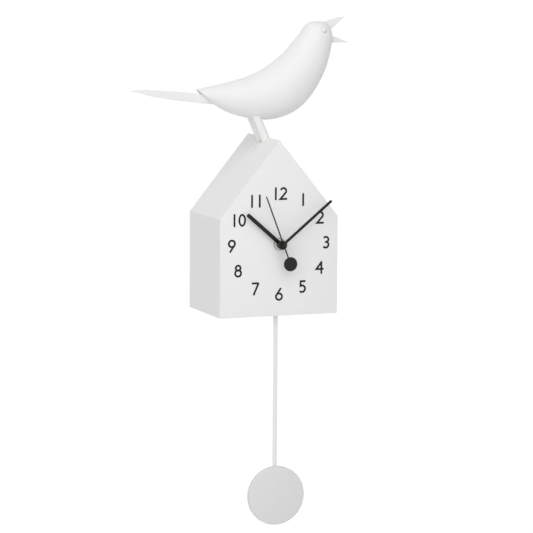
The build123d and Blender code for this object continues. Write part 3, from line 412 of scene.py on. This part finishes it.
from_axis = brass_wire.node("ShaderNodeVectorMath", {"operation": "LENGTH"}, {0: flat_place}, "Value")
painted_ring_shadows = brass_wire.node("ShaderNodeValToRGB", {"stops": painted_shadow_by_centimetre},
                                 {"Fac": centimetres * from_axis})
tarnish = speckle(brass_wire, size=0.003, detail=4.0)
tarnish_and_ring_shadows = blend(brass_wire, tarnish, (0.5, 0.485, 0.43), (0.74, 0.725, 0.67))
# The tarnished brass is darkened by the painted shadow rings.
tarnish_and_ring_shadows = brass_wire.node("ShaderNodeMix", {"data_type": "RGBA", "blend_type": "MULTIPLY"},
                       {0: 1.0, 6: tarnish_and_ring_shadows, 7: painted_ring_shadows}, 2)
skin(brass_wire, tarnish_and_ring_shadows, roughness=0.3 + 0.2 * tarnish, height=tool_marks, depth=0.00001, Metallic=1.0)
finish(brass, "threaded_bush")

washer_room = 0.0001
washer_rounding = 0.00012
square_corner = 1.0
washer = bmesh.new()
for radius in ((washer_high.x - washer_low.x) / 2, bush_radius + washer_room):
    bmesh.ops.create_circle(washer, segments=72, radius=radius, matrix=upright(dial, washer_low.y))
bmesh.ops.bridge_loops(washer, edges=washer.edges[:])
thicken(washer, washer_high.y - washer_low.y)
washer_rims = [edge for edge in washer.edges if edge.calc_face_angle(0) > square_corner]
soften(washer, washer_rims, washer_rounding, 2)
fit("brass_washer", washer, brass, "case", "brass", "fixing_washer")

nut_rounding = 0.0004
nut_low, nut_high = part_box("fixing_nut")
nut = bmesh.new()
drum(nut, dial, (nut_high.x - nut_low.x) / 2, nut_low.y, nut_high.y, nut_rounding, sides=6)
fit("brass_nut", nut, brass, "case", "brass", "fixing_nut")


# ------------------------------------------------------------------ hour, minute and second hands
# Pressed from thin sheet with round ends and sprayed satin black, each riveted to its
# own hub. The second hand is a fine bar with a round counterweight on its short end.
hand_sheet = 0.0008
past_axis = 0.001
hub_rounding = 0.0003


def blade(shape, clock_angle, reach, width, near, rounding):
    """Adds a flat bar with round ends, from just past the dial's axis out along a clock angle."""
    plate = bmesh.new()
    bmesh.ops.create_circle(plate, cap_ends=True, segments=32, radius=width / 2)
    far_end = [point for point in plate.verts if point.co.x > micron]
    bmesh.ops.translate(plate, vec=(reach + past_axis - width, 0, 0), verts=far_end)
    place = Matrix.Translation((dial.x, near, dial.z))
    place = place @ Matrix.Rotation(math.radians(clock_angle - 90), 4, "Y")
    place = place @ Matrix.Translation((width / 2 - past_axis, 0, 0)) @ Matrix.Rotation(math.pi / 2, 4, "X")
    bmesh.ops.transform(plate, matrix=place, verts=plate.verts[:])
    thicken(plate, hand_sheet)
    add_plate(shape, plate, rounding, 2)


black_enamel = coated("satin_black_enamel", (0.007, 0.007, 0.0075), rough=0.4,
                      peel=0.0006, depth=0.000008, tint=0.7)

hour_angle = 311.0
hour_reach = 0.0611
hour_width = 0.0051
hour_rounding = 0.00018
hour_hub = 0.0046
hour_low, hour_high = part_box("hour_hand")
hour_hand = bmesh.new()
blade(hour_hand, hour_angle, hour_reach, hour_width, hour_low.y, hour_rounding)
drum(hour_hand, dial, hour_hub, hour_low.y, hour_high.y, hub_rounding, sides=48)
fit("black_hour_hand", hour_hand, black_enamel, "hour", "black_metal", "hour_hand")

minute_angle = 50.6
minute_reach = 0.086
minute_width = 0.0036
minute_rounding = 0.00015
minute_hub = 0.0058
minute_step = 0.0002
minute_low, minute_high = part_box("minute_hand")
minute_hand = bmesh.new()
blade(minute_hand, minute_angle, minute_reach, minute_width, minute_low.y + minute_step, minute_rounding)
drum(minute_hand, dial, minute_hub, minute_low.y, minute_high.y, hub_rounding, sides=48)
fit("black_minute_hand", minute_hand, black_enamel, "minute", "black_metal", "minute_hand")

second_angle = 339.0
second_reach = 0.0675
second_width = 0.0016
second_rounding = 0.0001
second_hub = 0.0024
second_step = 0.0023
weight_angle = second_angle - 180
weight_bar_reach = 0.0182
weight_distance = 0.0258
weight_radius = 0.009
weight_proud = 0.0001
weight_rounding = 0.00018
second_low, second_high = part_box("second_hand")
second_sheet = second_low.y + second_step
weight_way = Vector((math.sin(math.radians(weight_angle)), 0, math.cos(math.radians(weight_angle))))
weight = dial + weight_way * weight_distance
second_hand = bmesh.new()
blade(second_hand, second_angle, second_reach, second_width, second_sheet, second_rounding)
blade(second_hand, weight_angle, weight_bar_reach, second_width, second_sheet, second_rounding)
drum(second_hand, weight, weight_radius, second_sheet - weight_proud,
     second_sheet + hand_sheet + weight_proud, weight_rounding, sides=72)
drum(second_hand, dial, second_hub, second_low.y, second_high.y, hub_rounding, sides=40)
fit("black_second_hand", second_hand, black_enamel, "second", "black_metal", "second_hand")


# ------------------------------------------------------------------ movement
# A black moulded case clipped shut over natural plastic wheels, with a stamped iron
# stator, a wound coil and a small green board that steps the rotor.
black_moulding = coated("black_moulding", (0.022, 0.022, 0.024), rough=0.48,
                        peel=0.0004, depth=0.00002, tint=0.8)
finish(black_moulding, "movement_case", "movement_cover", "set_knob", "pendulum_bracket", "pendulum_hanger",
       "battery_holder", "bird_chassis", "mode_switch", "test_button")
wheel_plastic = coated("natural_wheel_plastic", (0.83, 0.8, 0.72), rough=0.38, peel=0.0003, depth=0.000006)
finish(wheel_plastic, "intermediate_wheel", "second_wheel", "third_wheel", "centre_wheel",
       "minute_wheel", "hour_wheel")
arbor_steel = plated("polished_arbor_steel", (0.52, 0.53, 0.55), (0.72, 0.73, 0.74), rough=0.22)
finish(arbor_steel, "minute_arbor", "pendulum_pivot", "pivot_pins", "drive_rod")
nickel = plated("nickel_magnet", (0.2, 0.2, 0.21), (0.34, 0.34, 0.35), rough=0.3)
finish(nickel, "rotor", "pendulum_magnet")
motor_iron = plated("stamped_motor_iron", (0.3, 0.31, 0.33), (0.5, 0.51, 0.53), rough=0.4, closer=(8, 1, 1))
finish(motor_iron, "motor_stator", "solenoid")


def winding(name, band_along):
    """Coil of varnished copper wire: close parallel turns."""
    made, wire = start(name)
    turns = wire.node("ShaderNodeTexWave", {"bands_direction": band_along},
                      {"Vector": place_on(wire), "Scale": 1300.0})
    copper = blend(wire, turns, (0.3, 0.09, 0.03), (0.72, 0.3, 0.12))
    skin(wire, copper, roughness=0.28 + 0.1 * turns, height=turns, depth=0.00008, Metallic=0.9)
    return made


finish(winding("motor_winding", "X"), "motor_coil")
finish(winding("pendulum_winding", "Y"), "pendulum_coil")

board, board_wire = start("green_circuit_board")
tracks = board_wire.node("ShaderNodeTexBrick", {"offset": 0.37},
                         {"Vector": place_on(board_wire), "Scale": 260.0, "Mortar Size": 0.03,
                          "Color1": (0, 0, 0, 1), "Color2": (0, 0, 0, 1), "Mortar": (1, 1, 1, 1)}, "Fac")
lacquer = blend(board_wire, tracks, (0.012, 0.12, 0.045), (0.04, 0.26, 0.1))
skin(board_wire, lacquer, roughness=0.3 + 0.2 * speckle(board_wire, size=0.004), height=tracks,
     depth=0.00003)
finish(board, "movement_board", "sound_board")


# ------------------------------------------------------------------ pendulum
# A thin flat aluminium rod, powder coated white, hangs from a moulded hanger and
# carries a turned fibreboard disc, sprayed, its white set greyer than the case's.
rod_rounding = 0.0004
powder_coat = coated("white_powder_coat", (0.86, 0.86, 0.85), rough=0.5, peel=0.0007, depth=0.00001)
rod_low, rod_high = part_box("pendulum_rod")
rod_size = rod_high - rod_low
rod = bmesh.new()
bmesh.ops.create_cube(rod, size=1.0, matrix=Matrix.Translation((rod_low + rod_high) / 2)
                      @ Matrix.Diagonal((*rod_size, 1)))
long_edges = [edge for edge in rod.edges if edge.calc_length() > rod_size.z / 2]
soften(rod, long_edges, rod_rounding)
fit("flat_pendulum_rod", rod, powder_coat, "pendulum", "white_metal", "pendulum_rod")
finish(powder_coat, "rod_rivets")

bob_rounding = 0.0015
bob_paint = coated("satin_bob_paint", (0.755, 0.755, 0.75), rough=0.5)
bob_low, bob_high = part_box("pendulum_bob")
bob_radius = (bob_high.x - bob_low.x) / 2
bob = bmesh.new()
drum(bob, (bob_low + bob_high) / 2, bob_radius, bob_low.y, bob_high.y, bob_rounding, sides=128)
fit("round_bob", bob, bob_paint, "pendulum", "white_paint", "pendulum_bob")


# ------------------------------------------------------------------ bird's legs and body
# Two straight tubes carry a moulded two-part shell, sprayed satin white, with a
# long pointed tail and a beak that opens; the eyes are set-in glossy beads.
moulded_rounding = 0.00025
sharp_angle = 0.6
short_edge = 0.0009


def rounded(name, node, material, body, left_of=math.inf):
    """Stands a copy of a moulded node in its place, its long sharp edges left of a point rounded."""
    shape = bmesh.new()
    shape.from_mesh(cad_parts[node].data)
    bmesh.ops.remove_doubles(shape, verts=shape.verts[:], dist=0.000002)
    bmesh.ops.dissolve_limit(shape, angle_limit=0.008, verts=shape.verts[:], edges=shape.edges[:])
    sharp = [edge for edge in shape.edges
             if edge.calc_face_angle(0) > sharp_angle and edge.calc_length() > short_edge
             and min(end.co.x for end in edge.verts) < left_of]
    soften(shape, sharp, moulded_rounding)
    fit(name, shape, material, body, "white_shell", node)


shell_paint = coated("satin_shell_paint", (0.915, 0.915, 0.91), rough=0.42, peel=0.0012, depth=0.000008)
finish(shell_paint, "right_shell", "left_shell")
rounded("upper_beak_horn", "upper_beak", shell_paint, "beak_top")
rounded("lower_beak_horn", "lower_beak", shell_paint, "beak_bottom")

tail_tilt = math.radians(-4.5)
barb_closeness = (0.05, 0.3, 1.0)
feathered, tail_wire = start("grooved_tail_paint")
tail_place = tail_wire.node("ShaderNodeMapping", {}, {"Vector": place_on(tail_wire),
                                                      "Rotation": (0, tail_tilt, 0),
                                                      "Scale": barb_closeness})
barbs = tail_wire.node("ShaderNodeTexNoise", {}, {"Vector": tail_place, "Scale": 800.0, "Detail": 2.0})
# Painted light: the tail's whites are set a little bright to make up for shade; the fine barb lines across
# them are its own.
tail_white = blend(tail_wire, barbs, (0.9, 0.9, 0.895), (0.95, 0.95, 0.945))
skin(tail_wire, tail_white, roughness=0.42 + 0.1 * barbs, height=barbs, depth=0.0002)
tail_pin_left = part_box("pivot_pins")[0].x
rounded("long_tail", "tail", feathered, "tail_body", left_of=tail_pin_left)

# Painted light: the legs' white is set brighter than the rod's powder coat, to make up for the shade the body
# casts on them.
leg_paint = coated("satin_leg_paint", (0.925, 0.925, 0.915), rough=0.45, peel=0.0008, depth=0.00001)
finish(leg_paint, "left_leg", "right_leg")
bead = coated("gloss_bead", (0.93, 0.93, 0.93), rough=0.1, depth=0.000002)
finish(bead, "eyes")


# ------------------------------------------------------------------ speaker and cells
# A small speaker, a pressed paper cone in a stamped frame, faces the holes in the
# floor, and three cells in plain jackets lie in an open moulded tray.
speaker_black = coated("black_stamped_frame", (0.03, 0.03, 0.032), rough=0.45, depth=0.000015)
finish(speaker_black, "speaker_frame")
paper = coated("pressed_paper_cone", (0.09, 0.085, 0.08), rough=0.85, peel=0.0008, depth=0.00008)
finish(paper, "speaker_cone")
jacket = coated("plain_cell_jacket", (0.1, 0.2, 0.28), rough=0.3)
finish(jacket, "battery_cells")
